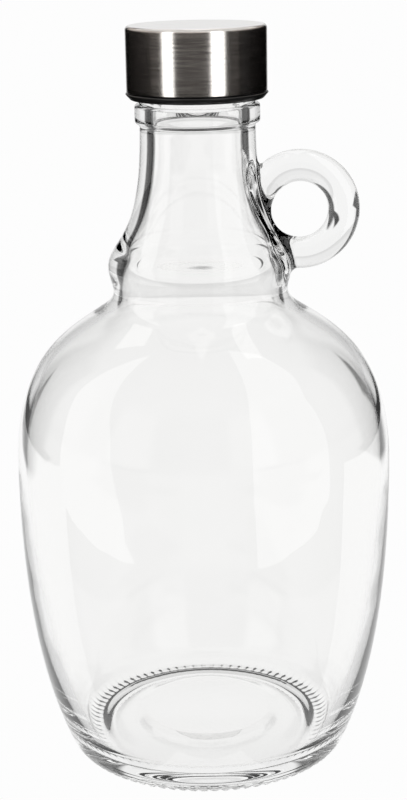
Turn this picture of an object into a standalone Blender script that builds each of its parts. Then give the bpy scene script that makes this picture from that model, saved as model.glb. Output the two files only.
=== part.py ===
"""A one-litre glass jug with a ring handle on its neck and a steel-clad screw cap.

Three pieces: the blown bottle with its ring handle, which is one solid of glass, the
black plastic inner cap over the mouth, and the thin steel shell on that cap. Metres,
+Z up. The origin is the centre of the ring that the jug stands on, and the ring
handle is on the +X side.
"""
import bpy
from collections import namedtuple
from math import cos, pi, radians, sin

MM = 0.001

# Sizes of the whole jug
TOTAL_HEIGHT = 223.0 * MM
BODY_RADIUS = 56.8 * MM
WIDEST_HEIGHT = 92.0 * MM            # height at which the body is widest
PIECE_GAP = 0.3 * MM                 # free space between pieces that touch
TURN_STEPS = 56                      # facets round the jug

# Foot: the jug stands on a narrow flat ring round a shallow push-up
HEEL_RADIUS, HEEL_HEIGHT = 44.2 * MM, 4.4 * MM
FOOT_OUTER, FOOT_INNER = 39.7 * MM, 37.5 * MM
PUNT_EDGE_RADIUS, PUNT_EDGE_HEIGHT = 32.5 * MM, 2.5 * MM
PUNT_HEIGHT = 5.4 * MM               # height of the push-up at the centre

# Shoulder and neck, outside
SHOULDER_RADIUS, SHOULDER_HEIGHT = 30.1 * MM, 139.7 * MM
CREASE_RADIUS, CREASE_HEIGHT = 26.05 * MM, 145.7 * MM
BEAD_RADIUS, BEAD_HEIGHT = 27.45 * MM, 152.6 * MM
NECK_RADIUS, NECK_HEIGHT = 17.0 * MM, 194.0 * MM
COLLAR_RADIUS = 18.35 * MM
COLLAR_BOTTOM, COLLAR_TOP = 194.9 * MM, 200.6 * MM
COLLAR_ROUND = 0.9 * MM

# Glass thickness
NECK_WALL = 4.3 * MM
BEAD_WALL = 5.3 * MM
CREASE_WALL = 3.9 * MM
SHOULDER_WALL = 3.2 * MM
BODY_WALL = 2.8 * MM
HEEL_WALL = 3.4 * MM
FLOOR_WALL = 4.9 * MM
LIP_ROUND = 0.8 * MM

# Ring handle, a glass torus that stands in the XZ plane and runs into the neck
HANDLE_OUTER, HANDLE_HOLE = 17.75 * MM, 8.35 * MM
HANDLE_X, HANDLE_HEIGHT = 29.8 * MM, 168.8 * MM
HANDLE_STEPS, HANDLE_SECTION_STEPS = 40, 14

# Cap
CAP_RADIUS = 20.55 * MM
SHELL_WALL = 0.5 * MM
SHELL_BOTTOM = 204.2 * MM
SHELL_ROUND = 0.85 * MM
LINER_ROOF = 2.0 * MM
LINER_BOTTOM = 202.0 * MM
RIM_RADIUS = 20.8 * MM               # the black rim stands just proud of the steel
RIM_ROUND = 0.4 * MM
RIM_FOOT_RADIUS = 19.5 * MM

# Worked out from the sizes above
LINER_TOP = TOTAL_HEIGHT - SHELL_WALL - PIECE_GAP
LINER_RADIUS = CAP_RADIUS - SHELL_WALL - PIECE_GAP
RIM_TOP = SHELL_BOTTOM - PIECE_GAP
MOUTH_HEIGHT = LINER_TOP - LINER_ROOF - PIECE_GAP
BORE_RADIUS = NECK_RADIUS - NECK_WALL
HANDLE_TUBE = (HANDLE_OUTER - HANDLE_HOLE) / 2

# A bend is a point where two curves of an outline meet. heading is the direction of
# travel there, in degrees: 0 outwards, -90 down, 180 inwards. pull_in and pull_out are
# the lengths of the curves' handles before and after it, and steps counts the facets
# along the curve that arrives.
Bend = namedtuple("Bend", "radius height heading pull_in pull_out steps")

OUTSIDE_BENDS = (
    Bend(NECK_RADIUS, NECK_HEIGHT, -90, 0.0, 34.8 * MM, 0),
    Bend(BEAD_RADIUS, BEAD_HEIGHT, -90, 8.0 * MM, 2.0 * MM, 8),
    Bend(CREASE_RADIUS, CREASE_HEIGHT, -90, 1.3 * MM, 2.3 * MM, 2),
    Bend(SHOULDER_RADIUS, SHOULDER_HEIGHT, -34, 3.4 * MM, 13.3 * MM, 3),
    Bend(BODY_RADIUS, WIDEST_HEIGHT, -90, 33.0 * MM, 18.4 * MM, 7),
    Bend(HEEL_RADIUS, HEEL_HEIGHT, -112.6, 32.3 * MM, 2.5 * MM, 7),
    Bend(FOOT_OUTER, 0.0, 180, 1.9 * MM, 0.0, 3),
)
PUNT_BENDS = (
    Bend(FOOT_INNER, 0.0, 180, 0.0, 1.2 * MM, 0),
    Bend(PUNT_EDGE_RADIUS, PUNT_EDGE_HEIGHT, 166, 2.2 * MM, 9.0 * MM, 2),
    Bend(0.0, PUNT_HEIGHT, 180, 11.6 * MM, 0.0, 3),
)
INSIDE_BENDS = (
    Bend(BORE_RADIUS, NECK_HEIGHT, -90, 0.0, 34.8 * MM, 0),
    Bend(BEAD_RADIUS - BEAD_WALL, BEAD_HEIGHT, -90, 8.0 * MM, 2.4 * MM, 7),
    Bend(CREASE_RADIUS - CREASE_WALL, CREASE_HEIGHT - 1.5 * MM, -90, 2.4 * MM, 3.5 * MM, 1),
    Bend(SHOULDER_RADIUS - SHOULDER_WALL * sin(radians(34)),
         SHOULDER_HEIGHT - SHOULDER_WALL * cos(radians(34)), -34, 4.0 * MM, 12.9 * MM, 3),
    Bend(BODY_RADIUS - BODY_WALL, WIDEST_HEIGHT, -90, 30.6 * MM, 18.4 * MM, 6),
    Bend(HEEL_RADIUS - HEEL_WALL * sin(radians(65)), HEEL_HEIGHT + 6.2 * MM, -114,
         28.7 * MM, 3.5 * MM, 6),
    Bend(PUNT_EDGE_RADIUS, PUNT_EDGE_HEIGHT + FLOOR_WALL, 163, 3.9 * MM, 9.1 * MM, 3),
    Bend(0.0, PUNT_HEIGHT + FLOOR_WALL, 180, 11.6 * MM, 0.0, 2),
)


def curve_between(start, end):
    """Points of the cubic curve from one bend to the next, its start left out."""
    lead, trail = radians(start.heading), radians(end.heading)
    corners = (
        (start.radius, start.height),
        (start.radius + start.pull_out * cos(lead), start.height + start.pull_out * sin(lead)),
        (end.radius - end.pull_in * cos(trail), end.height - end.pull_in * sin(trail)),
        (end.radius, end.height),
    )
    points = []
    for step in range(1, end.steps + 1):
        t = step / end.steps
        s = 1 - t
        weights = (s ** 3, 3 * s * s * t, 3 * s * t * t, t ** 3)
        points.append(tuple(sum(w * c[i] for w, c in zip(weights, corners)) for i in (0, 1)))
    return points


def outline_through(bends):
    """Points along the smooth outline that runs through the bends."""
    points = [(bends[0].radius, bends[0].height)]
    for start, end in zip(bends, bends[1:]):
        points += curve_between(start, end)
    return points


def corner(centre, radius, from_degrees, to_degrees, steps=2):
    """Points of a round corner, both ends included."""
    turn = [radians(from_degrees + (to_degrees - from_degrees) * n / steps) for n in range(steps + 1)]
    return [(centre[0] + radius * cos(a), centre[1] + radius * sin(a)) for a in turn]


def glass_outside():
    """Outline of the outside of the glass, from the mouth down to the push-up."""
    lip = corner((NECK_RADIUS - LIP_ROUND, MOUTH_HEIGHT - LIP_ROUND), LIP_ROUND, 90, 0, steps=1)
    collar_centre = COLLAR_RADIUS - COLLAR_ROUND
    collar = [(NECK_RADIUS, COLLAR_TOP)]
    collar += corner((collar_centre, COLLAR_TOP - COLLAR_ROUND), COLLAR_ROUND, 90, 0)
    collar += corner((collar_centre, COLLAR_BOTTOM + COLLAR_ROUND), COLLAR_ROUND, 0, -90)
    below = outline_through(OUTSIDE_BENDS) + outline_through(PUNT_BENDS)
    return [(0.0, MOUTH_HEIGHT)] + lip + collar + below


def glass_hollow():
    """Outline of the hollow, from just above the mouth down to the floor."""
    mouth = BORE_RADIUS + LIP_ROUND
    above = MOUTH_HEIGHT + LIP_ROUND
    lip = corner((mouth, MOUTH_HEIGHT - LIP_ROUND), LIP_ROUND, 90, 180, steps=1)
    return [(0.0, above), (mouth, above)] + lip + outline_through(INSIDE_BENDS)


def shell_outline():
    """The steel cup: down its outside, round its open edge and back up its inside."""
    centre = (CAP_RADIUS - SHELL_ROUND, TOTAL_HEIGHT - SHELL_ROUND)
    outer = corner(centre, SHELL_ROUND, 90, 0)
    edge = [(CAP_RADIUS, SHELL_BOTTOM), (CAP_RADIUS - SHELL_WALL, SHELL_BOTTOM)]
    inner = corner(centre, SHELL_ROUND - SHELL_WALL, 0, 90, steps=1)
    return [(0.0, TOTAL_HEIGHT)] + outer + edge + inner + [(0.0, TOTAL_HEIGHT - SHELL_WALL)]


def liner_outline():
    """The plastic cup inside the steel, with the rim that shows below it."""
    grip_radius = NECK_RADIUS + PIECE_GAP
    roof_under = MOUTH_HEIGHT + PIECE_GAP
    roof = [(0.0, LINER_TOP), (LINER_RADIUS - SHELL_ROUND, LINER_TOP)]
    rim = [(LINER_RADIUS, LINER_TOP - SHELL_ROUND), (LINER_RADIUS, RIM_TOP)]
    rim += corner((RIM_RADIUS - RIM_ROUND, RIM_TOP - RIM_ROUND), RIM_ROUND, 90, -30)
    rim += [(RIM_FOOT_RADIUS, LINER_BOTTOM)]
    inside = [(grip_radius, LINER_BOTTOM), (grip_radius, roof_under), (0.0, roof_under)]
    return roof + rim + inside


def clear_scene():
    """Remove every object that is already in the scene."""
    for old in list(bpy.data.objects):
        bpy.data.objects.remove(old, do_unlink=True)


def new_collection(name):
    """A collection of this name under the scene."""
    collection = bpy.data.collections.new(name)
    bpy.context.scene.collection.children.link(collection)
    return collection


def turned(name, outline, collection):
    """A solid of revolution about Z, from the radius and height along its outline."""
    mesh = bpy.data.meshes.new(name)
    edges = [(n, n + 1) for n in range(len(outline) - 1)]
    mesh.from_pydata([(radius, 0.0, height) for radius, height in outline], edges, [])
    obj = bpy.data.objects.new(name, mesh)
    collection.objects.link(obj)
    screw = obj.modifiers.new("turn", "SCREW")
    screw.axis = "Z"
    screw.steps = screw.render_steps = TURN_STEPS
    screw.use_merge_vertices = True
    screw.merge_threshold = 0.01 * MM
    screw.use_smooth_shade = True
    return obj


def make_guide(obj):
    """Mark an object that only shapes another: drawn as wire and never rendered."""
    obj.display_type = "WIRE"
    obj.hide_render = True


def handle_ring(guides):
    """The torus of the ring handle, standing in the XZ plane."""
    bpy.ops.mesh.primitive_torus_add(
        major_radius=HANDLE_HOLE + HANDLE_TUBE, minor_radius=HANDLE_TUBE,
        major_segments=HANDLE_STEPS, minor_segments=HANDLE_SECTION_STEPS,
        location=(HANDLE_X, 0.0, HANDLE_HEIGHT), rotation=(pi / 2, 0.0, 0.0))
    ring = bpy.context.object
    ring.name = "handle_ring"
    ring.data.shade_smooth()
    for old in list(ring.users_collection):
        old.objects.unlink(ring)
    guides.objects.link(ring)
    make_guide(ring)
    return ring


def fuse_or_cut(obj, tool, operation):
    """Join the tool's shape to the object, or cut it out of the object."""
    boolean = obj.modifiers.new(tool.name, "BOOLEAN")
    boolean.operation = operation
    boolean.object = tool
    boolean.solver = "EXACT"


def principled(name, color, roughness, metallic=0.0, transmission=0.0, ior=1.5):
    """A material with one Principled shader."""
    material = bpy.data.materials.new(name)
    material.use_nodes = True
    shader = material.node_tree.nodes["Principled BSDF"]
    shader.inputs["Base Color"].default_value = (*color, 1.0)
    shader.inputs["Roughness"].default_value = roughness
    shader.inputs["Metallic"].default_value = metallic
    shader.inputs["Transmission Weight"].default_value = transmission
    shader.inputs["IOR"].default_value = ior
    return material


def make_bottle(jug, guides):
    """The glass: a turned outside, the ring handle fused on, and the hollow cut out of both."""
    bottle = turned("bottle", glass_outside(), jug)
    hollow = turned("hollow", glass_hollow(), guides)
    make_guide(hollow)
    fuse_or_cut(bottle, handle_ring(guides), "UNION")
    fuse_or_cut(bottle, hollow, "DIFFERENCE")
    glass = principled("clear_glass", (0.93, 0.96, 0.94), 0.02, transmission=1.0, ior=1.52)
    bottle.data.materials.append(glass)


def make_cap(jug):
    """The two pieces of the cap: the plastic liner, and the steel shell over it."""
    liner = turned("cap_liner", liner_outline(), jug)
    liner.data.materials.append(principled("black_plastic", (0.012, 0.012, 0.013), 0.35))
    shell = turned("cap_shell", shell_outline(), jug)
    shell.data.materials.append(principled("brushed_steel", (0.58, 0.56, 0.53), 0.30, metallic=1.0))


def main():
    """Build the jug in one collection, and what shapes it in another."""
    clear_scene()
    jug = new_collection("glass_jug")
    guides = new_collection("guides")
    make_bottle(jug, guides)
    make_cap(jug)


main()
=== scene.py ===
"""Dresses a clear glass jug with a ring handle and a steel-clad screw cap, in a white studio.

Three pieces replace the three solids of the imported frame: the glass, the black inner cap
and the brushed steel shell. Metres, +Z up, the ring handle on the +X side.
"""

from __future__ import annotations

import logging
from dataclasses import dataclass
from enum import Enum
from math import atan2, cos, hypot, pi, radians, sin, tan, tau

import bmesh
import bpy
from mathutils import Matrix, Vector


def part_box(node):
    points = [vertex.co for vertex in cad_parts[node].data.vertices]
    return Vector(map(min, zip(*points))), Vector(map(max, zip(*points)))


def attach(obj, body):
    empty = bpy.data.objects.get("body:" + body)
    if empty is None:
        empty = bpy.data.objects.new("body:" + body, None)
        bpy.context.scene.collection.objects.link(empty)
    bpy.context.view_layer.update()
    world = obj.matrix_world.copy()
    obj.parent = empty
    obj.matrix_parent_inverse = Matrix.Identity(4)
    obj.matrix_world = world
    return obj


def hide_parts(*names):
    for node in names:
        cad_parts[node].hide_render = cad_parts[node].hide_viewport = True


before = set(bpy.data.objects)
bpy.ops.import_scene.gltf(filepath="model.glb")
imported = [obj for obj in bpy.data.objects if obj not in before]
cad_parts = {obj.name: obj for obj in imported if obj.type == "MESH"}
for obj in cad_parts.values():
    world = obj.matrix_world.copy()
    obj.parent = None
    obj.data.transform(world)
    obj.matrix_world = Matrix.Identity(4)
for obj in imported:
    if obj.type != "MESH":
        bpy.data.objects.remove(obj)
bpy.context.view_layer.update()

LOG = logging.getLogger("glass_jug")
MM = 0.001
DEGREES = 180 / pi
Point = tuple[float, float]
Triple = tuple[float, float, float]
Colour = Triple
Value = float | bpy.types.NodeSocket


class Heading(Enum):
    """Directions of travel along an outline, in degrees."""

    DOWN = -90.0
    IN = 180.0


@dataclass(frozen=True)
class Bend:
    """A point where two curves of an outline meet.

    heading is the direction of travel in degrees, and pull_in and pull_out are the
    lengths of the curves' handles before and after the point.
    """

    radius: float
    height: float
    heading: float
    pull_in: float = 0.0
    pull_out: float = 0.0

    def handle(self, pull: float) -> Point:
        """The end of a handle of that length along the heading."""
        turn = radians(self.heading)
        return self.radius + pull * cos(turn), self.height + pull * sin(turn)


def curve_between(start: Bend, end: Bend, spacing: float) -> list[Point]:
    """Points of the cubic curve from one bend to the next, its start left out.

    Args:
        start: The bend that the curve leaves.
        end: The bend that it reaches.
        spacing: About how far apart the points are.

    Returns:
        Pairs of radius and height.
    """
    corners = ((start.radius, start.height), start.handle(start.pull_out),
               end.handle(-end.pull_in), (end.radius, end.height))
    length = sum(hypot(b[0] - a[0], b[1] - a[1]) for a, b in zip(corners, corners[1:]))
    steps = max(2, round(length / spacing))
    points = []
    for step in range(1, steps + 1):
        t = step / steps
        s = 1.0 - t
        weights = (s ** 3, 3 * s * s * t, 3 * s * t * t, t ** 3)
        points.append(tuple(sum(w * c[i] for w, c in zip(weights, corners)) for i in (0, 1)))
    return points


def outline_through(bends: tuple[Bend, ...], spacing: float) -> list[Point]:
    """Points along the smooth outline that runs through the bends.

    Args:
        bends: The bends in order.
        spacing: About how far apart the points are.

    Returns:
        Pairs of radius and height, from the first bend to the last.
    """
    points = [(bends[0].radius, bends[0].height)]
    for start, end in zip(bends, bends[1:]):
        points += curve_between(start, end, spacing)
    return points


def corner(centre: Point, radius: float, start: float, end: float, steps: int = 6) -> list[Point]:
    """Points of a round corner, both ends included.

    Args:
        centre: Radius and height of the corner's centre.
        radius: How round it is.
        start: Angle of the first point, in degrees.
        end: Angle of the last point.
        steps: How many stretches it has.

    Returns:
        Pairs of radius and height.
    """
    turn = [radians(start + (end - start) * n / steps) for n in range(steps + 1)]
    return [(centre[0] + radius * cos(a), centre[1] + radius * sin(a)) for a in turn]


def straight(start: Point, end: Point, steps: int) -> list[Point]:
    """Points along a straight stretch, both ends left out."""
    return [(start[0] + (end[0] - start[0]) * n / steps, start[1] + (end[1] - start[1]) * n / steps)
            for n in range(1, steps)]


def spun(outline: list[Point], steps: int) -> bmesh.types.BMesh:
    """Turn an outline round the Z axis.

    Args:
        outline: Pairs of radius and height, which run down the outer side.
        steps: How many stretches the full turn has.

    Returns:
        A new bmesh, with its seam and poles merged.
    """
    bm = bmesh.new()
    verts = [bm.verts.new((radius, 0.0, height)) for radius, height in outline]
    edges = [bm.edges.new(pair) for pair in zip(verts, verts[1:])]
    bmesh.ops.spin(bm, geom=verts + edges, cent=(0, 0, 0), axis=(0, 0, 1), angle=tau,
                   steps=steps, use_merge=True)
    bmesh.ops.remove_doubles(bm, verts=bm.verts, dist=0.001 * MM)
    return bm


def new_object(bm: bmesh.types.BMesh, name: str) -> bpy.types.Object:
    """Put a bmesh in a smooth-shaded object at the origin, and free the bmesh.

    Args:
        bm: The shape, in world coordinates.
        name: The object's name.

    Returns:
        The new object, linked to the scene.
    """
    mesh = bpy.data.meshes.new(name)
    bm.to_mesh(mesh)
    bm.free()
    mesh.shade_smooth()
    obj = bpy.data.objects.new(name, mesh)
    bpy.context.scene.collection.objects.link(obj)
    return obj


@dataclass
class GlassBottle:
    """The bottle and its ring handle, one piece of clear glass."""

    mouth_height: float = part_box("bottle")[1][2]
    body_radius: float = 56.8 * MM
    widest_height: float = 92.0 * MM
    heel: Point = (44.2 * MM, 4.4 * MM)
    heel_heading: float = -112.6
    foot_outer: float = 39.7 * MM
    foot_inner: float = 37.5 * MM
    punt_edge: Point = (30.5 * MM, 2.3 * MM)
    punt_heading: float = 168.0
    punt_height: float = 5.4 * MM
    dome_foot: Point = (25.5 * MM, 6.9 * MM)
    dome_foot_heading: float = 170.0
    dome_side: Point = (20.5 * MM, 8.9 * MM)
    dome_side_heading: float = 157.0
    dome_top: float = 10.6 * MM
    shoulder: Point = (30.1 * MM, 139.7 * MM)
    shoulder_slope: float = 34.0
    shoulder_run: float = 3.3 * MM
    crease: Point = (26.05 * MM, 145.7 * MM)
    bead: Point = (27.45 * MM, 152.6 * MM)
    neck: Point = (17.0 * MM, 194.0 * MM)
    collar_radius: float = 18.35 * MM
    collar_bottom: float = 194.9 * MM
    collar_top: float = 200.6 * MM
    collar_round: float = 0.9 * MM
    neck_wall: float = 4.0 * MM
    crease_wall: float = 3.0 * MM
    crease_lift: float = 1.3 * MM
    shoulder_wall: float = 2.8 * MM
    body_wall: float = 2.8 * MM
    heel_wall: float = 3.4 * MM
    heel_wall_lean: float = 65.0
    heel_lift: float = 6.2 * MM
    hollow_heel_heading: float = -114.0
    lip_round: float = 0.8 * MM
    handle_outer: float = 17.75 * MM
    handle_hole: float = 8.35 * MM
    handle_centre: Point = (29.8 * MM, 168.8 * MM)
    turn_steps: int = 240
    quick_turn_steps: int = 160
    ring_section_steps: int = 48
    ring_turn_steps: int = 128
    knurls: int = 80
    knurl_depth: float = 0.5 * MM
    knurl_reach: Point = (0.9 * MM, 3.6 * MM)
    knurl_top: float = 3.5 * MM
    knurl_side_share: float = 0.7
    blend_reaches: tuple[float, ...] = (2.6 * MM, 2.1 * MM, 1.7 * MM, 1.3 * MM)
    blend_passes: int = 5
    blend_half_height: float = 26 * MM
    blend_half_width: float = 12 * MM
    blend_inner: float = 8 * MM
    seam_reach: float = 0.9 * MM
    seam_merge: float = 0.15 * MM
    hair: float = 0.001 * MM

    @property
    def tube(self) -> float:
        """Radius of the ring handle's section."""
        return (self.handle_outer - self.handle_hole) / 2

    def outside(self) -> list[Point]:
        """Outline of the outside of the glass.

        Returns:
            Pairs of radius and height, from the lip's crown down to the push-up's centre.
        """
        neck_radius, neck_top = self.neck
        lip_centre = (neck_radius - self.lip_round, self.mouth_height - self.lip_round)
        collar_centre = self.collar_radius - self.collar_round
        top, bottom = self.collar_top - self.collar_round, self.collar_bottom + self.collar_round
        lip = corner(lip_centre, self.lip_round, 90, 0)
        above = straight(lip[-1], (neck_radius, self.collar_top), 6) + [(neck_radius, self.collar_top)]
        collar = corner((collar_centre, top), self.collar_round, 90, 0)
        collar += straight((self.collar_radius, top), (self.collar_radius, bottom), 4)
        collar += corner((collar_centre, bottom), self.collar_round, 0, -90)
        neck = Bend(neck_radius, neck_top, Heading.DOWN.value, pull_out=34.8 * MM)
        bead = Bend(*self.bead, Heading.DOWN.value, pull_in=8.0 * MM, pull_out=2.0 * MM)
        crease = Bend(*self.crease, Heading.DOWN.value, pull_in=1.3 * MM, pull_out=2.3 * MM)
        shoulder = Bend(*self.shoulder, -self.shoulder_slope, pull_in=3.4 * MM, pull_out=13.3 * MM)
        widest = Bend(self.body_radius, self.widest_height, Heading.DOWN.value,
                      pull_in=33.0 * MM, pull_out=18.4 * MM)
        heel = Bend(*self.heel, self.heel_heading, pull_in=32.3 * MM, pull_out=2.5 * MM)
        foot_edge = Bend(self.foot_outer, 0.0, Heading.IN.value, pull_in=1.9 * MM)
        side = outline_through((neck, bead, crease, shoulder), spacing=1.0 * MM)
        side += outline_through((shoulder, widest, heel), spacing=2.4 * MM)[1:]
        side += outline_through((heel, foot_edge), spacing=0.7 * MM)[1:]
        foot = straight((self.foot_outer, 0.0), (self.foot_inner, 0.0), 4) + [(self.foot_inner, 0.0)]
        punt_foot = Bend(self.foot_inner, 0.0, Heading.IN.value, pull_out=2.4 * MM)
        punt_edge = Bend(*self.punt_edge, self.punt_heading, pull_in=3.4 * MM, pull_out=9.0 * MM)
        punt_middle = Bend(0.0, self.punt_height, Heading.IN.value, pull_in=11.6 * MM)
        punt = outline_through((punt_foot, punt_edge), spacing=0.8 * MM)[1:]
        punt += outline_through((punt_edge, punt_middle), spacing=2.0 * MM)[1:]
        return lip + above + collar + side + foot + punt

    def inside(self) -> list[Point]:
        """Outline of the inside of the glass.

        Returns:
            Pairs of radius and height, from the floor's centre up to the lip's crown.
        """
        slope, lean = radians(self.shoulder_slope), radians(self.heel_wall_lean)
        bore, run = self.neck[0] - self.neck_wall, self.shoulder_run
        neck = Bend(bore, self.neck[1], Heading.DOWN.value, pull_out=34.0 * MM)
        crease = Bend(self.crease[0] - self.crease_wall, self.crease[1] + self.crease_lift,
                      Heading.DOWN.value, pull_in=17.0 * MM, pull_out=5.0 * MM)
        shoulder = Bend(self.shoulder[0] - self.shoulder_wall * sin(slope) + run * cos(slope),
                        self.shoulder[1] - self.shoulder_wall * cos(slope) - run * sin(slope),
                        -self.shoulder_slope, pull_in=8.5 * MM, pull_out=9.6 * MM)
        widest = Bend(self.body_radius - self.body_wall, self.widest_height, Heading.DOWN.value,
                      pull_in=30.6 * MM, pull_out=18.4 * MM)
        heel = Bend(self.heel[0] - self.heel_wall * sin(lean), self.heel[1] + self.heel_lift,
                    self.hollow_heel_heading, pull_in=28.7 * MM, pull_out=3.5 * MM)
        dome_foot = Bend(*self.dome_foot, self.dome_foot_heading, pull_in=8.0 * MM, pull_out=1.5 * MM)
        dome_side = Bend(*self.dome_side, self.dome_side_heading, pull_in=1.9 * MM, pull_out=4.0 * MM)
        dome_top = Bend(0.0, self.dome_top, Heading.IN.value, pull_in=9.0 * MM)
        lip_centre = (bore + self.lip_round, self.mouth_height - self.lip_round)
        down = corner(lip_centre, self.lip_round, 90, 180)
        down += straight(down[-1], (bore, self.neck[1]), 8)
        down += outline_through((neck, crease, shoulder), spacing=1.2 * MM)
        down += outline_through((shoulder, widest, heel), spacing=2.4 * MM)[1:]
        down += outline_through((heel, dome_foot, dome_side, dome_top), spacing=1.6 * MM)[1:]
        return down[::-1]

    def ring(self) -> bmesh.types.BMesh:
        """Model the ring handle on its own.

        Returns:
            A torus that stands in the XZ plane.
        """
        bm = bmesh.new()
        middle = Vector((self.handle_centre[0], 0.0, self.handle_centre[1]))
        place = Matrix.Translation(middle + Vector((self.handle_hole + self.tube, 0.0, 0.0)))
        made = bmesh.ops.create_circle(bm, cap_ends=False, segments=self.ring_section_steps,
                                       radius=self.tube, matrix=place)
        bmesh.ops.spin(bm, geom=made["verts"] + bm.edges[:], cent=middle, axis=(0, 1, 0), angle=tau,
                       steps=self.ring_turn_steps, use_merge=True)
        bmesh.ops.recalc_face_normals(bm, faces=bm.faces)
        return bm

    def build(self) -> bpy.types.Object:
        """Model the glass.

        Returns:
            The glass as one closed mesh.
        """
        shell = spun([(0.0, self.mouth_height)] + self.outside(), self.turn_steps)
        self.press_knurls(shell)
        bmesh.ops.recalc_face_normals(shell, faces=shell.faces)
        bottle = new_object(shell, "glass_bottle")
        ring = new_object(self.ring(), "ring_tool")
        boolean = bottle.modifiers.new("ring", "BOOLEAN")
        boolean.operation = "UNION"
        boolean.solver = "EXACT"
        boolean.object = ring
        fused = bpy.data.meshes.new_from_object(bottle.evaluated_get(bpy.context.evaluated_depsgraph_get()))
        bottle.modifiers.clear()
        bpy.data.objects.remove(ring)
        bm = bmesh.new()
        bm.from_mesh(fused)
        bpy.data.meshes.remove(fused)
        self.blend_ring(bm)
        self.open_mouth(bm)
        self.add_inside(bm)
        bm.to_mesh(bottle.data)
        bm.free()
        bottle.data.shade_smooth()
        return bottle

    def press_knurls(self, bm: bmesh.types.BMesh) -> None:
        """Press the row of short grooves into the ring that the glass stands on.

        Args:
            bm: The turned outside, which has turn_steps stretches.
        """
        low, high = self.foot_inner - self.knurl_reach[0], self.foot_outer + self.knurl_reach[1]
        middle, half = (low + high) / 2, (high - low) / 2
        for vert in bm.verts:
            away = hypot(vert.co.x, vert.co.y)
            if vert.co.z > self.knurl_top or not low < away < high:
                continue
            step = round(atan2(vert.co.y, vert.co.x) / tau * self.turn_steps)
            if step % (self.turn_steps // self.knurls) == 0:
                press = self.knurl_depth * (1 - ((away - middle) / half) ** 2)
                inward = 1.0 - self.knurl_side_share * press / away if away > self.foot_outer else 1.0
                vert.co = Vector((vert.co.x * inward, vert.co.y * inward, vert.co.z + press))

    def blend_ring(self, bm: bmesh.types.BMesh) -> None:
        """Round off the groove where the ring handle meets the neck.

        Args:
            bm: The outside of the glass, fused with the ring.
        """
        centre = Vector((self.handle_centre[0], 0.0, self.handle_centre[1]))
        ring_radius = self.handle_hole + self.tube
        low, high = centre.z - self.blend_half_height, centre.z + self.blend_half_height
        near = [(r, h) for r, h in self.outside() if low < h < high]

        def off_neck(point: Vector) -> float:
            """Distance from the turned outside."""
            return min(hypot(hypot(point.x, point.y) - r, point.z - h) for r, h in near)

        seam = []
        for vert in bm.verts:
            if not (low < vert.co.z < high and vert.co.x > self.blend_inner
                    and abs(vert.co.y) < self.blend_half_width):
                continue
            from_ring = hypot(hypot(vert.co.x - centre.x, vert.co.z - centre.z) - ring_radius, vert.co.y)
            seam.append((max(abs(from_ring - self.tube), off_neck(vert.co)), vert))
        close = [v for gap, v in seam if gap < self.seam_reach]
        bmesh.ops.remove_doubles(bm, verts=close, dist=self.seam_merge)
        for reach in self.blend_reaches:
            verts = [v for gap, v in seam if v.is_valid and gap < reach]
            for _ in range(self.blend_passes):
                bmesh.ops.smooth_vert(bm, verts=verts, factor=0.5, use_axis_x=True, use_axis_y=True,
                                      use_axis_z=True)

    def open_mouth(self, bm: bmesh.types.BMesh) -> None:
        """Remove the disc that closes the mouth, inside the lip's crown.

        Args:
            bm: The outside of the glass.
        """
        top = self.mouth_height - self.hair
        crown = self.neck[0] - self.lip_round - 10 * self.hair
        disc = [v for v in bm.verts if v.co.z > top and hypot(v.co.x, v.co.y) < crown]
        bmesh.ops.delete(bm, geom=disc, context="VERTS")

    def add_inside(self, bm: bmesh.types.BMesh) -> None:
        """Turn the inside of the glass and join it to the outside round the lip.

        Args:
            bm: The outside of the glass, open at the mouth.
        """
        crown_out = (self.neck[0] - self.lip_round, self.mouth_height)
        lining = spun(self.inside() + [crown_out], self.turn_steps)
        mesh = bpy.data.meshes.new("lining")
        lining.to_mesh(mesh)
        lining.free()
        bm.from_mesh(mesh)
        bpy.data.meshes.remove(mesh)
        crown = [v for v in bm.verts if v.co.z > self.mouth_height - self.hair]
        bmesh.ops.remove_doubles(bm, verts=crown, dist=10 * self.hair)
        bmesh.ops.recalc_face_normals(bm, faces=bm.faces)


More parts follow.
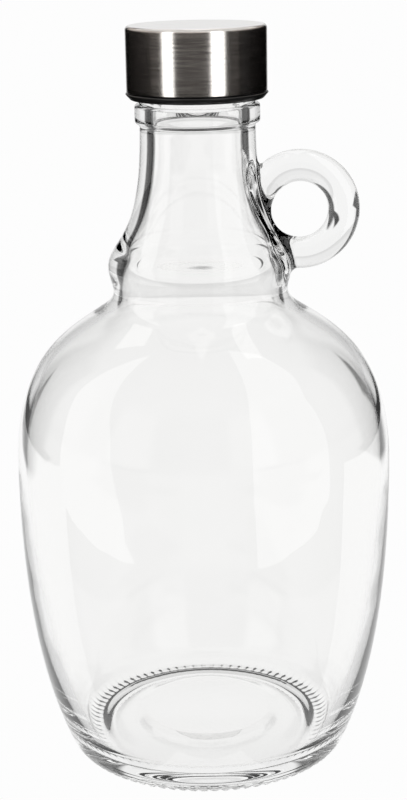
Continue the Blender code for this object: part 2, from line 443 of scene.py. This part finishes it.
class NodeKit:
    """Adds nodes to a tree, and links them, in few words."""

    def __init__(self, tree: bpy.types.NodeTree) -> None:
        """Keep the tree, and empty it."""
        self.tree = tree
        tree.nodes.clear()

    def node(self, kind: str, inputs: dict | None = None, **settings: object) -> bpy.types.Node:
        """Add a node.

        Args:
            kind: The node's type, such as ShaderNodeMath.
            inputs: A value or a socket for each input, by name or number.
            settings: Values of the node's own properties.

        Returns:
            The node.
        """
        node = self.tree.nodes.new(kind)
        for name, value in settings.items():
            setattr(node, name, value)
        for key, value in (inputs or {}).items():
            if isinstance(value, bpy.types.NodeSocket):
                self.tree.links.new(value, node.inputs[key])
            else:
                node.inputs[key].default_value = value
        return node

    def math(self, operation: str, *values: Value) -> bpy.types.NodeSocket:
        """The result of a Math node."""
        return self.node("ShaderNodeMath", dict(enumerate(values)), operation=operation).outputs[0]

    def degrees(self, across: Value, along: Value) -> bpy.types.NodeSocket:
        """Angle of a direction from the along axis, in degrees."""
        return self.math("MULTIPLY", self.math("ARCTAN2", across, along), DEGREES)

    def step(self, value: Value, low: float, high: float) -> bpy.types.NodeSocket:
        """A soft step.

        Args:
            value: What is compared.
            low: Where the step is 0.
            high: Where it is 1, more or less than low.

        Returns:
            The step.
        """
        rising = high > low
        ends = {"Value": value, "From Min": min(low, high), "From Max": max(low, high),
                "To Min": 0.0 if rising else 1.0, "To Max": 1.0 if rising else 0.0}
        return self.node("ShaderNodeMapRange", ends, interpolation_type="SMOOTHSTEP").outputs[0]

    def window(self, value: Value, low: float, high: float, soft: float) -> bpy.types.NodeSocket:
        """1 between low and high and 0 outside, with soft ends."""
        return self.math("MULTIPLY", self.step(value, low - soft, low + soft),
                         self.step(value, high + soft, high - soft))

    def mix(self, factor: Value, first: Value, second: Value) -> bpy.types.NodeSocket:
        """A value between two values, by a factor."""
        mix = self.node("ShaderNodeMix", {0: factor, 2: first, 3: second}, data_type="FLOAT")
        return mix.outputs[0]

    def colour(self, factor: Value, first: Colour, second: Colour) -> bpy.types.NodeSocket:
        """A colour between two colours, by a factor."""
        return self.node("ShaderNodeMix", {0: factor, 6: (*first, 1), 7: (*second, 1)},
                         data_type="RGBA").outputs[2]

    def between(self, value: Value, ends: Point) -> bpy.types.NodeSocket:
        """A value spread from 0 and 1 to two ends."""
        return self.node("ShaderNodeMapRange", {"Value": value, "To Min": ends[0],
                                                "To Max": ends[1]}).outputs[0]

    def bump(self, height: Value, distance: float, strength: float) -> bpy.types.NodeSocket:
        """The normal of a Bump node."""
        return self.node("ShaderNodeBump", {"Height": height, "Distance": distance,
                                            "Strength": strength}).outputs[0]

    def noise(self, place: bpy.types.NodeSocket, scale: float, detail: float = 3.0,
              roughness: float = 0.5) -> bpy.types.NodeSocket:
        """The value of a Noise Texture."""
        return self.node("ShaderNodeTexNoise", {"Vector": place, "Scale": scale, "Detail": detail,
                                                "Roughness": roughness}).outputs["Fac"]

    def object_place(self, centre: Vector, stretch: Triple = (1, 1, 1)) -> bpy.types.NodeSocket:
        """Object coordinates from a centre, stretched.

        Args:
            centre: Where the pattern is centred.
            stretch: What the coordinates are multiplied by.

        Returns:
            The place.
        """
        place = self.node("ShaderNodeTexCoord").outputs["Object"]
        location = tuple(-c * f for c, f in zip(centre, stretch))
        return self.node("ShaderNodeMapping", {"Vector": place, "Location": location,
                                               "Scale": stretch}).outputs[0]


@dataclass(frozen=True)
class ClearGlass:
    """Pressed soda-lime glass, clear, its faces slightly uneven."""

    tint: Colour = (0.988, 0.988, 0.983)
    pale: Colour = (0.997, 0.996, 0.993)
    index: float = 1.52
    wave_centre: Triple = (0.0, 0.0, 0.1)
    wave_scale: float = 55.0
    wave_height: float = 0.05 * MM

    def material(self) -> bpy.types.Material:
        """Make the glass.

        Returns:
            The material.
        """
        material = bpy.data.materials.new("clear_glass")
        material.use_nodes = True
        kit = NodeKit(material.node_tree)
        wave = kit.noise(kit.object_place(Vector(self.wave_centre)), self.wave_scale, detail=1.0)
        shader = kit.node("ShaderNodeBsdfPrincipled", {
            "Base Color": kit.colour(wave, self.tint, self.pale), "Roughness": 0.0, "IOR": self.index,
            "Transmission Weight": 1.0, "Normal": kit.bump(wave, self.wave_height, 1.0)})
        kit.node("ShaderNodeOutputMaterial", {"Surface": shader.outputs[0]})
        return material


@dataclass(frozen=True)
class BrushedSteel:
    """Thin stainless steel sheet, brushed along the cap's side and across its top. The top's colours are
    lighter than the side's, as painted light.
    """

    bright: Colour = (0.80, 0.775, 0.75)
    dark_share: float = 0.6
    roughness: Point = (0.21, 0.27)
    anisotropy: float = 0.85
    anisotropy_turn: float = 0.25
    line_stretch: Triple = (0.12, 0.12, 2.2)
    line_scale: float = 900.0
    line_share: float = 0.65
    cloud_scale: float = 120.0
    grain_height: float = 0.006 * MM
    grain_strength: float = 0.06
    # Painted light: the top's two colours are lighter than the side's, so the top reads as lit. The
    # brushing across it is real.
    top: Colour = (0.96, 0.955, 0.95)
    top_grain: Colour = (0.86, 0.855, 0.85)
    top_roughness: Point = (0.24, 0.34)
    top_stretch: Triple = (0.05, 6.0, 1.0)
    top_scale: float = 700.0
    top_grain_height: float = 0.0015 * MM
    top_grain_strength: float = 0.3

    def painted_light_top_material(self, centre: Vector) -> bpy.types.Material:
        """Make the steel of the cap's top, brushed in straight lines, in lighter colours than the side as
        painted light.

        Args:
            centre: Where the pattern is centred.

        Returns:
            The material.
        """
        material = bpy.data.materials.new("brushed_steel_top_painted_light")
        material.use_nodes = True
        kit = NodeKit(material.node_tree)
        lines = kit.noise(kit.object_place(centre, self.top_stretch), self.top_scale, 4.0, 0.65)
        shader = kit.node("ShaderNodeBsdfPrincipled", {
            "Base Color": kit.colour(lines, self.top_grain, self.top), "Metallic": 1.0,
            "Roughness": kit.between(lines, self.top_roughness),
            "Normal": kit.bump(lines, self.top_grain_height, self.top_grain_strength)})
        kit.node("ShaderNodeOutputMaterial", {"Surface": shader.outputs[0]})
        return material

    def material(self, centre: Vector) -> bpy.types.Material:
        """Make the steel of the cap's side, brushed round the cap.

        Args:
            centre: Where the pattern is centred.

        Returns:
            The material.
        """
        material = bpy.data.materials.new("brushed_steel")
        material.use_nodes = True
        kit = NodeKit(material.node_tree)
        lines = kit.noise(kit.object_place(centre, self.line_stretch), self.line_scale, 5.0, 0.75)
        lines = kit.step(lines, 0.3, 0.7)
        cloud = kit.noise(kit.object_place(centre), self.cloud_scale)
        shade = kit.math("ADD", kit.math("MULTIPLY", lines, self.line_share),
                         kit.math("MULTIPLY", cloud, 1 - self.line_share))
        dark = tuple(self.dark_share * c for c in self.bright)
        tangent = kit.node("ShaderNodeTangent", direction_type="RADIAL", axis="Z").outputs[0]
        shader = kit.node("ShaderNodeBsdfPrincipled", {
            "Base Color": kit.colour(shade, dark, self.bright), "Metallic": 1.0,
            "Roughness": kit.between(lines, self.roughness), "Anisotropic": self.anisotropy,
            "Anisotropic Rotation": self.anisotropy_turn, "Tangent": tangent,
            "Normal": kit.bump(lines, self.grain_height, self.grain_strength)})
        kit.node("ShaderNodeOutputMaterial", {"Surface": shader.outputs[0]})
        return material


@dataclass(frozen=True)
class BlackPlastic:
    """Moulded black plastic with a satin skin."""

    colour: Colour = (0.003, 0.003, 0.003)
    worn: Colour = (0.007, 0.007, 0.007)
    roughness: Point = (0.26, 0.40)
    index: float = 1.5
    grain_scale: float = 1600.0
    grain_height: float = 0.01 * MM
    cloud_scale: float = 150.0

    def material(self, centre: Vector) -> bpy.types.Material:
        """Make the plastic.

        Args:
            centre: Where the pattern is centred.

        Returns:
            The material.
        """
        material = bpy.data.materials.new("black_plastic")
        material.use_nodes = True
        kit = NodeKit(material.node_tree)
        place = kit.object_place(centre)
        grain = kit.noise(place, self.grain_scale)
        cloud = kit.noise(place, self.cloud_scale, detail=2.0)
        shader = kit.node("ShaderNodeBsdfPrincipled", {
            "Base Color": kit.colour(cloud, self.colour, self.worn), "IOR": self.index,
            "Roughness": kit.between(grain, self.roughness),
            "Normal": kit.bump(grain, self.grain_height, 0.5)})
        kit.node("ShaderNodeOutputMaterial", {"Surface": shader.outputs[0]})
        return material


def dressed(obj: bpy.types.Object, *materials: bpy.types.Material) -> None:
    """Give a piece its materials.

    Args:
        obj: The piece.
        materials: Its materials, in the order of its faces' material numbers.
    """
    for material in materials:
        obj.data.materials.append(material)


@dataclass
class ScrewCap:
    """The cap: a black plastic inner cap in a brushed steel shell."""

    cap_radius: float = 20.55 * MM
    shell_wall: float = 0.5 * MM
    shell_bottom: float = 204.2 * MM
    shell_round: float = 1.15 * MM
    shell_inner_round: float = 0.65 * MM
    hem_round: float = 0.2 * MM
    liner_bottom: float = 202.0 * MM
    liner_roof: float = 2.0 * MM
    liner_round: float = 0.5 * MM
    liner_chamfer: float = 0.3 * MM
    rim_radius: float = 20.8 * MM
    rim_foot: float = 19.5 * MM
    rim_round: float = 0.4 * MM
    total_height: float = 223.0 * MM
    gap: float = 0.3 * MM
    bore_radius: float = 17.3 * MM
    top_facing: float = 0.99
    turn_steps: int = 192

    @property
    def liner_top(self) -> float:
        """Height of the inner cap, just under the shell."""
        return self.total_height - self.shell_wall - self.gap

    @property
    def liner_radius(self) -> float:
        """Radius of the inner cap inside the shell."""
        return self.cap_radius - self.shell_wall - self.gap

    def build_shell(self) -> bpy.types.Object:
        """Model the steel shell, a thin cup with a rounded top edge and a hemmed bottom edge.

        Returns:
            The shell as one closed mesh.
        """
        top, wall, bottom = self.total_height, self.shell_wall, self.shell_bottom
        outer, rnd = self.cap_radius, self.shell_round
        outline = [(0.0, top)] + straight((0.0, top), (outer - rnd, top), 6)
        outline += corner((outer - rnd, top - rnd), rnd, 90, 0, 8)
        outline += straight((outer, top - rnd), (outer, bottom + self.hem_round), 10)
        outline += corner((outer - self.hem_round, bottom + self.hem_round), self.hem_round, 0, -90, 4)
        outline += [(outer - wall, bottom)]
        inner, inner_round = outer - wall, self.shell_inner_round
        outline += corner((inner - inner_round, top - wall - inner_round), inner_round, 0, 90, 5)
        outline += [(0.0, top - wall)]
        shell = spun(outline, self.turn_steps)
        bmesh.ops.recalc_face_normals(shell, faces=shell.faces)
        for face in shell.faces:
            # Upward faces take the top's steel, whose lighter colour is painted light.
            face.material_index = int(face.normal.z > self.top_facing)
        return new_object(shell, "steel_shell")

    def build_liner(self) -> bpy.types.Object:
        """Model the inner cap, with the black rim that shows under the shell.

        Returns:
            The inner cap as one closed mesh.
        """
        top, radius, foot = self.liner_top, self.liner_radius, self.liner_bottom
        rim_top = self.shell_bottom - self.gap
        rnd, edge = self.rim_round, self.liner_round
        outline = [(0.0, top)] + corner((radius - edge, top - edge), edge, 90, 0, 5)
        outline += [(radius, rim_top)]
        outline += corner((self.rim_radius - rnd, rim_top - rnd), rnd, 90, 0, 6)
        outline += corner((self.rim_foot - rnd * 0.5, foot + rnd), rnd, -40, -90, 5)
        outline += [(self.bore_radius + self.liner_chamfer, foot),
                    (self.bore_radius, foot + self.liner_chamfer)]
        ceiling = top - self.liner_roof
        outline += [(self.bore_radius, ceiling), (0.0, ceiling)]
        liner = spun(outline, self.turn_steps)
        bmesh.ops.recalc_face_normals(liner, faces=liner.faces)
        return new_object(liner, "inner_cap")


@dataclass(frozen=True)
class Softbox:
    """A flat light seen from the jug between two azimuths and two elevations, in degrees.

    Azimuth 0 is towards the camera and grows towards the handle. height is that of the
    point that the angles are taken from, on the jug's axis.
    """

    name: str
    azimuths: Point
    elevations: Point
    radiance: float
    height: float
    distance: float = 0.8
    colour: Colour = (1.0, 0.99, 0.97)

    def build(self, receivers: bpy.types.Collection) -> None:
        """Hang the light.

        Args:
            receivers: The collection of pieces that it lights.
        """
        turn = radians(sum(self.azimuths) / 2)
        rise = radians(sum(self.elevations) / 2)
        half_turn = radians(abs(self.azimuths[1] - self.azimuths[0]) / 2)
        half_rise = radians(abs(self.elevations[1] - self.elevations[0]) / 2)
        away = Vector((sin(turn) * cos(rise), -cos(turn) * cos(rise), sin(rise)))
        data = bpy.data.lights.new(self.name, "AREA")
        data.shape = "RECTANGLE"
        data.size = 2 * self.distance * tan(half_turn)
        data.size_y = 2 * self.distance * tan(half_rise)
        data.energy = self.radiance * pi * data.size * data.size_y
        data.color = self.colour
        light = bpy.data.objects.new(self.name, data)
        bpy.context.scene.collection.objects.link(light)
        light.matrix_world = (Matrix.Translation(Vector((0, 0, self.height)) + away * self.distance)
                              @ away.to_track_quat("Z", "Y").to_matrix().to_4x4())
        light.visible_camera = False
        light.visible_transmission = False
        light.light_linking.receiver_collection = receivers


@dataclass(frozen=True)
class Card:
    """A flat white card, its corners given as azimuth and elevation from the jug, in degrees."""

    name: str
    corners: tuple[Point, ...]
    radiance: float
    height: float = 0.1
    distance: float = 0.8

    def build(self, receivers: bpy.types.Collection) -> None:
        """Hang the card where only reflections show it.

        Args:
            receivers: The collection of pieces that it lights.
        """
        bm = bmesh.new()
        verts = []
        for azimuth, elevation in self.corners:
            turn, rise = radians(azimuth), radians(elevation)
            verts.append(bm.verts.new((self.distance * sin(turn), -self.distance * cos(turn),
                                       self.height + self.distance * tan(rise))))
        bm.faces.new(verts)
        bmesh.ops.triangulate(bm, faces=bm.faces)
        card = new_object(bm, self.name)
        material = bpy.data.materials.new(self.name)
        material.use_nodes = True
        kit = NodeKit(material.node_tree)
        glow = kit.node("ShaderNodeEmission", {"Strength": self.radiance})
        kit.node("ShaderNodeOutputMaterial", {"Surface": glow.outputs[0]})
        dressed(card, material)
        card.visible_camera = card.visible_transmission = card.visible_diffuse = False
        card.visible_shadow = False
        card.light_linking.receiver_collection = receivers


GLASS_CARDS = (
    Card("card_left", (
        (-42, -23.3), (-48, -21), (-53, -15), (-55, 0), (-58, 14), (-65, 28), (-72, 39), (-95, 58),
        (-114, 67), (-108, 59), (-102, 43), (-99, 27), (-93, 7), (-93, -18), (-78, -20.5), (-60, -22.5),
    ), 1.1),
    Card("card_right", (
        (31, -24), (53, -22.3), (70, -20.5), (78, -17), (75, -8), (72, 13), (78, 33), (93, 49), (112, 65),
        (125, 77), (74, 72), (45, 50), (32, 33), (28, 6), (28, -13),
    ), 1.1),
)
GLASS_BOXES = (
    Softbox("spot_left", (-138, -128), (48, 62), 1.2, 0.14),
    Softbox("spot_right", (114, 130), (64, 72), 1.2, 0.14),
)
WARM = (1.0, 0.90, 0.83)
CAP_MIDDLE, CAP_TOP = 0.21, 0.223
CAP_BOXES = (
    Softbox("strip_left", (-56, -37), (-30, 30), 2.7, CAP_MIDDLE, 0.6),
    Softbox("strip_right", (23, 46), (-30, 30), 2.7, CAP_MIDDLE, 0.6),
    Softbox("between_strips", (-36, 22), (-30, 30), 0.045, CAP_MIDDLE, 0.6, WARM),
    Softbox("beside_left", (-78, -57), (-30, 30), 0.035, CAP_MIDDLE, 0.6, WARM),
    Softbox("beside_right", (47, 72), (-30, 30), 0.04, CAP_MIDDLE, 0.6, WARM),
    Softbox("overhead", (-52, 52), (38, 142), 1.0, CAP_MIDDLE, 0.35),
    Softbox("low_left", (-150, -62), (14, 38), 0.7, CAP_TOP, 0.5, WARM),
    Softbox("low_front", (-60, 60), (16, 38), 0.75, CAP_TOP, 0.5, WARM),
    Softbox("low_right", (62, 150), (20, 42), 0.45, CAP_TOP, 0.5, WARM),
)


@dataclass
class Studio:
    """White surroundings, the floor, the soft lights and the camera.

    What is seen through the glass is a white table, half a metre deep on each side of
    the jug, with a white strip beyond it and dimmer room beside the strip. What the
    glass mirrors is a dark room with a white sector straight behind. What is seen
    through the glass repeats about four axes, with dark corners between them. So a view
    along an axis is clean, and one along a diagonal shows a dark patch on the neck and
    shoulders, which comes from this studio and not from the glass. Lengths are in
    metres, angles in degrees, and pairs are where a soft step begins and ends.
    """

    white: float = 0.982
    room: float = 0.03
    room_turn: Point = (75.0, 125.0)
    sector_turn: Point = (22.0, 13.0)
    wall_light: Point = (0.97, 1.08)
    wall_rise: Point = (3.0, 7.0)
    corner_turn: Point = (34.0, 66.0)
    corner_soft: float = 4.0
    corner_share: float = 0.3
    front_light: float = 0.66
    front_side: Point = (0.0, -0.2)
    front_rise: Point = (0.0, 3.0)
    box_light: float = 0.7
    box_turns: tuple[Point, Point] = ((134.0, 163.0), (-146.0, -118.0))
    box_soft: float = 2.0
    ceiling_light: float = 0.9
    ceiling_rise: Point = (32.0, 45.0)
    dim_left: float = 0.10
    dim_right: float = 0.05
    dim_front: float = 0.55
    dim_front_side: Point = (0.0, -0.3)
    dim_turn: Point = (-3.0, 3.0)
    floor_size: float = 30.0
    floor_drop: float = 0.05 * MM
    floor_light: float = 0.955
    table_depths: Point = (0.44, 0.545)
    table_middle: Point = (-0.05, 0.05)
    table_soft: float = 0.04
    table_corner: float = 0.35
    table_corner_turn: Point = (26.0, 38.0)
    strip: Point = (-0.25, 0.2)
    strip_soft: float = 0.018
    gap_end: float = 0.80
    gap_soft: float = 0.05
    # Painted shade on the floor close in front of the jug: how much light it keeps, and where it starts and
    # ends.
    near_shade_share: float = 0.93
    near_shade_side: Point = (0.01, -0.03)
    near_shade_reach: Point = (0.22, 0.16)
    table_sectors: int = 6
    front_bands: tuple[Triple, ...] = ((-25, -58, 0.3), (-58, -89.5, 0.95))
    rear_bands: tuple[Triple, ...] = ((-8, -89.5, 0.95),)
    lens: float = 81.0
    camera_place: Triple = (0.262 * MM, -528.2 * MM, 258.9 * MM)
    pitch: float = 15.683
    roll: float = -1.05

    def fold(self, kit: NodeKit, x: Value, y: Value) -> bpy.types.NodeSocket:
        """Angle from the nearest of the four axes, -45 to 45 degrees, the same on each side."""
        turned = kit.math("ADD", kit.degrees(x, y), 45.0)
        return kit.math("SUBTRACT", kit.math("WRAP", turned, 90.0, 0.0), 45.0)

    def dark_corners(self, kit: NodeKit, x: Value, y: Value) -> bpy.types.NodeSocket:
        """1 in the four dark corners of the room, between its white walls."""
        turn = kit.degrees(kit.math("ABSOLUTE", x), kit.math("ABSOLUTE", y))
        return kit.window(turn, *self.corner_turn, self.corner_soft)

    def dim(self, kit: NodeKit, angle: Value, y: Value) -> bpy.types.NodeSocket:
        """How bright the room beside the white strip is."""
        side = kit.mix(kit.step(angle, *self.dim_turn), self.dim_left, self.dim_right)
        return kit.mix(kit.step(y, *self.dim_front_side), side, self.dim_front)

    def mirrored(self, kit: NodeKit, turn: Value) -> bpy.types.NodeSocket:
        """What the mirror sees of the surroundings.

        Args:
            kit: The world's nodes.
            turn: Angle from straight behind, in degrees.

        Returns:
            How bright it is.
        """
        aside = kit.math("ABSOLUTE", turn)
        room = kit.mix(kit.step(aside, *self.room_turn), 0.0, self.room)
        return kit.math("ADD", kit.step(aside, *self.sector_turn), room)

    def refracted(self, kit: NodeKit, axes: bpy.types.NodeOutputs, turn: Value) -> bpy.types.NodeSocket:
        """What is seen of the surroundings through the glass.

        Args:
            kit: The world's nodes.
            axes: The direction's X, Y and Z.
            turn: Angle from straight behind, in degrees.

        Returns:
            How bright it is.
        """
        x, y, z = axes
        rise = kit.math("MULTIPLY", kit.math("ARCSINE", z), DEGREES)
        corner_light = kit.math("MULTIPLY", self.dim(kit, self.fold(kit, x, y), y), self.corner_share)
        wall = kit.mix(kit.step(rise, *self.wall_rise), *self.wall_light)
        around = kit.mix(self.dark_corners(kit, x, y), wall, corner_light)
        ahead = kit.math("MULTIPLY", kit.step(y, *self.front_side), kit.step(rise, *self.front_rise))
        boxes = kit.math("ADD", *(kit.window(turn, *ends, self.box_soft) for ends in self.box_turns))
        front = kit.math("ADD", self.front_light, kit.math("MULTIPLY", boxes, self.box_light))
        around = kit.mix(ahead, around, front)
        return kit.mix(kit.step(rise, *self.ceiling_rise), around, self.ceiling_light)

    def build_world(self) -> None:
        """Set up the surroundings."""
        world = bpy.data.worlds.new("surroundings")
        bpy.context.scene.world = world
        world.use_nodes = True
        kit = NodeKit(world.node_tree)
        place = kit.node("ShaderNodeTexCoord").outputs["Generated"]
        axes = kit.node("ShaderNodeSeparateXYZ", {0: place}).outputs
        path = kit.node("ShaderNodeLightPath").outputs
        turn = kit.degrees(axes[0], axes[1])
        light = kit.mix(path["Is Transmission Ray"], self.mirrored(kit, turn),
                        self.refracted(kit, axes, turn))
        light = kit.mix(path["Is Camera Ray"], light, self.white)
        back = kit.node("ShaderNodeBackground", {"Strength": light})
        kit.node("ShaderNodeOutputWorld", {"Surface": back.outputs[0]})

    def table_light(self, kit: NodeKit, x: Value, y: Value) -> bpy.types.NodeSocket:
        """What is seen of the floor through the glass, with a painted shade close in front of the jug.

        Args:
            kit: The floor's nodes.
            x: Place on the floor, to the right.
            y: Place on the floor, to the back.

        Returns:
            How bright it is.
        """
        away = kit.math("SQRT", kit.math("ADD", kit.math("MULTIPLY", x, x), kit.math("MULTIPLY", y, y)))
        angle = self.fold(kit, x, y)
        turn = kit.math("MULTIPLY", angle, 1 / DEGREES)
        across = kit.math("MULTIPLY", away, kit.math("SINE", turn))
        ahead = kit.math("MULTIPLY", away, kit.math("COSINE", turn))
        depth = kit.mix(kit.step(across, *self.table_middle), *self.table_depths)
        table = kit.step(kit.math("SUBTRACT", ahead, depth), self.table_soft, -self.table_soft)
        reach = (self.table_corner - self.table_soft, self.table_corner + self.table_soft)
        cut = kit.math("MULTIPLY", kit.step(kit.math("ABSOLUTE", angle), *self.table_corner_turn),
                       kit.step(away, *reach))
        table = kit.math("MULTIPLY", table, kit.math("SUBTRACT", 1.0, cut))
        strip = kit.window(across, *self.strip, self.strip_soft)
        beyond = kit.step(ahead, self.gap_end - self.gap_soft, self.gap_end + self.gap_soft)
        far = kit.math("MULTIPLY", beyond, kit.math("SUBTRACT", 1.0, self.dark_corners(kit, x, y)))
        lit = kit.math("MAXIMUM", kit.math("MAXIMUM", table, strip), far)
        light = kit.mix(lit, self.dim(kit, angle, y), self.floor_light)
        # Painted shade: the floor close in front of the jug is a little darker.
        near = kit.math("MULTIPLY", kit.step(y, *self.near_shade_side), kit.step(away, *self.near_shade_reach))
        return kit.math("MULTIPLY", light, kit.mix(near, 1.0, self.near_shade_share))

    def build_floor(self) -> None:
        """Lay the floor, which shines as evenly as the wall behind."""
        bm = bmesh.new()
        bmesh.ops.create_grid(bm, x_segments=2, y_segments=2, size=self.floor_size / 2,
                              matrix=Matrix.Translation((0, 0, -self.floor_drop)))
        floor = new_object(bm, "floor")
        material = bpy.data.materials.new("white_floor")
        material.use_nodes = True
        kit = NodeKit(material.node_tree)
        place = kit.node("ShaderNodeTexCoord").outputs["Object"]
        x, y, _ = kit.node("ShaderNodeSeparateXYZ", {0: place}).outputs
        path = kit.node("ShaderNodeLightPath").outputs
        light = kit.mix(path["Is Camera Ray"], self.table_light(kit, x, y), self.white)
        glow = kit.node("ShaderNodeEmission", {"Strength": light})
        kit.node("ShaderNodeOutputMaterial", {"Surface": glow.outputs[0]})
        dressed(floor, material)
        floor.visible_glossy = False
        floor.visible_shadow = False

    def table_cards(self) -> list[Card]:
        """The table as the glass mirrors it, in sectors, darker in front of the jug.

        Returns:
            The cards, from the left round the front to the back.
        """
        cards, width = [], 360 // self.table_sectors
        for number in range(self.table_sectors):
            start = width * number - 90
            bands = self.front_bands if 2 * number < self.table_sectors else self.rear_bands
            for top, low, radiance in bands:
                corners = ((start, top), (start + width, top), (start + width, low), (start, low))
                cards.append(Card(f"table_{number}_{-top}", corners, radiance))
        return cards

    def build_lights(self, glass: bpy.types.Object, cap: list[bpy.types.Object]) -> None:
        """Hang the cards that the glass mirrors and the soft lights.

        Args:
            glass: The piece that the cards and two of the lights are for.
            cap: The pieces that the other lights are for.
        """
        for_glass = bpy.data.collections.new("lit_glass")
        for_glass.objects.link(glass)
        for_cap = bpy.data.collections.new("lit_cap")
        for piece in cap:
            for_cap.objects.link(piece)
        for card in (*GLASS_CARDS, *self.table_cards()):
            card.build(for_glass)
        for box in GLASS_BOXES:
            box.build(for_glass)
        for box in CAP_BOXES:
            box.build(for_cap)

    def build_camera(self) -> None:
        """Set up the camera."""
        data = bpy.data.cameras.new("camera")
        data.lens = self.lens
        data.sensor_width = 36.0
        camera = bpy.data.objects.new("camera", data)
        bpy.context.scene.collection.objects.link(camera)
        pitch, roll = radians(self.pitch), radians(self.roll)
        forward = Vector((0, cos(pitch), -sin(pitch)))
        right, up = Vector((1, 0, 0)), Vector((0, sin(pitch), cos(pitch)))
        turned_right = right * cos(roll) + up * sin(roll)
        turned_up = up * cos(roll) - right * sin(roll)
        turn = Matrix((turned_right, turned_up, -forward)).transposed().to_4x4()
        camera.matrix_world = Matrix.Translation(Vector(self.camera_place)) @ turn
        bpy.context.scene.camera = camera

    def build(self, glass: bpy.types.Object, cap: list[bpy.types.Object]) -> None:
        """Set up everything round the jug.

        Args:
            glass: The glass piece.
            cap: The pieces of the cap.
        """
        scene = bpy.context.scene
        scene.view_settings.view_transform = "Standard"
        scene.cycles.max_bounces = 24
        scene.cycles.transmission_bounces = 24
        scene.cycles.glossy_bounces = 8
        self.build_world()
        self.build_floor()
        self.build_lights(glass, cap)
        self.build_camera()


def placed(piece: bpy.types.Object, node: str) -> bpy.types.Object:
    """Let a piece ride on the body in place of its node, and report it.

    Args:
        piece: The piece.
        node: The node that it stands in for.

    Returns:
        The same piece.
    """
    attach(piece, "root")
    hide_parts(node)
    LOG.info("%s: %d faces", piece.name, len(piece.data.polygons))
    return piece


def main() -> None:
    """Build every piece in order, then the studio."""
    logging.basicConfig(level=logging.INFO, format="%(name)s: %(message)s")
    bottle = GlassBottle()
    glass = placed(bottle.build(), "bottle")
    dressed(glass, ClearGlass().material())
    cap = ScrewCap()
    centre = Vector((0.0, 0.0, cap.total_height))
    shell = placed(cap.build_shell(), "cap_shell")
    # The second material is the top's steel, lightened as painted light.
    dressed(shell, BrushedSteel().material(centre), BrushedSteel().painted_light_top_material(centre))
    liner = placed(cap.build_liner(), "cap_liner")
    dressed(liner, BlackPlastic().material(centre))
    Studio().build(glass, [shell, liner])


if __name__ == "__main__":
    main()
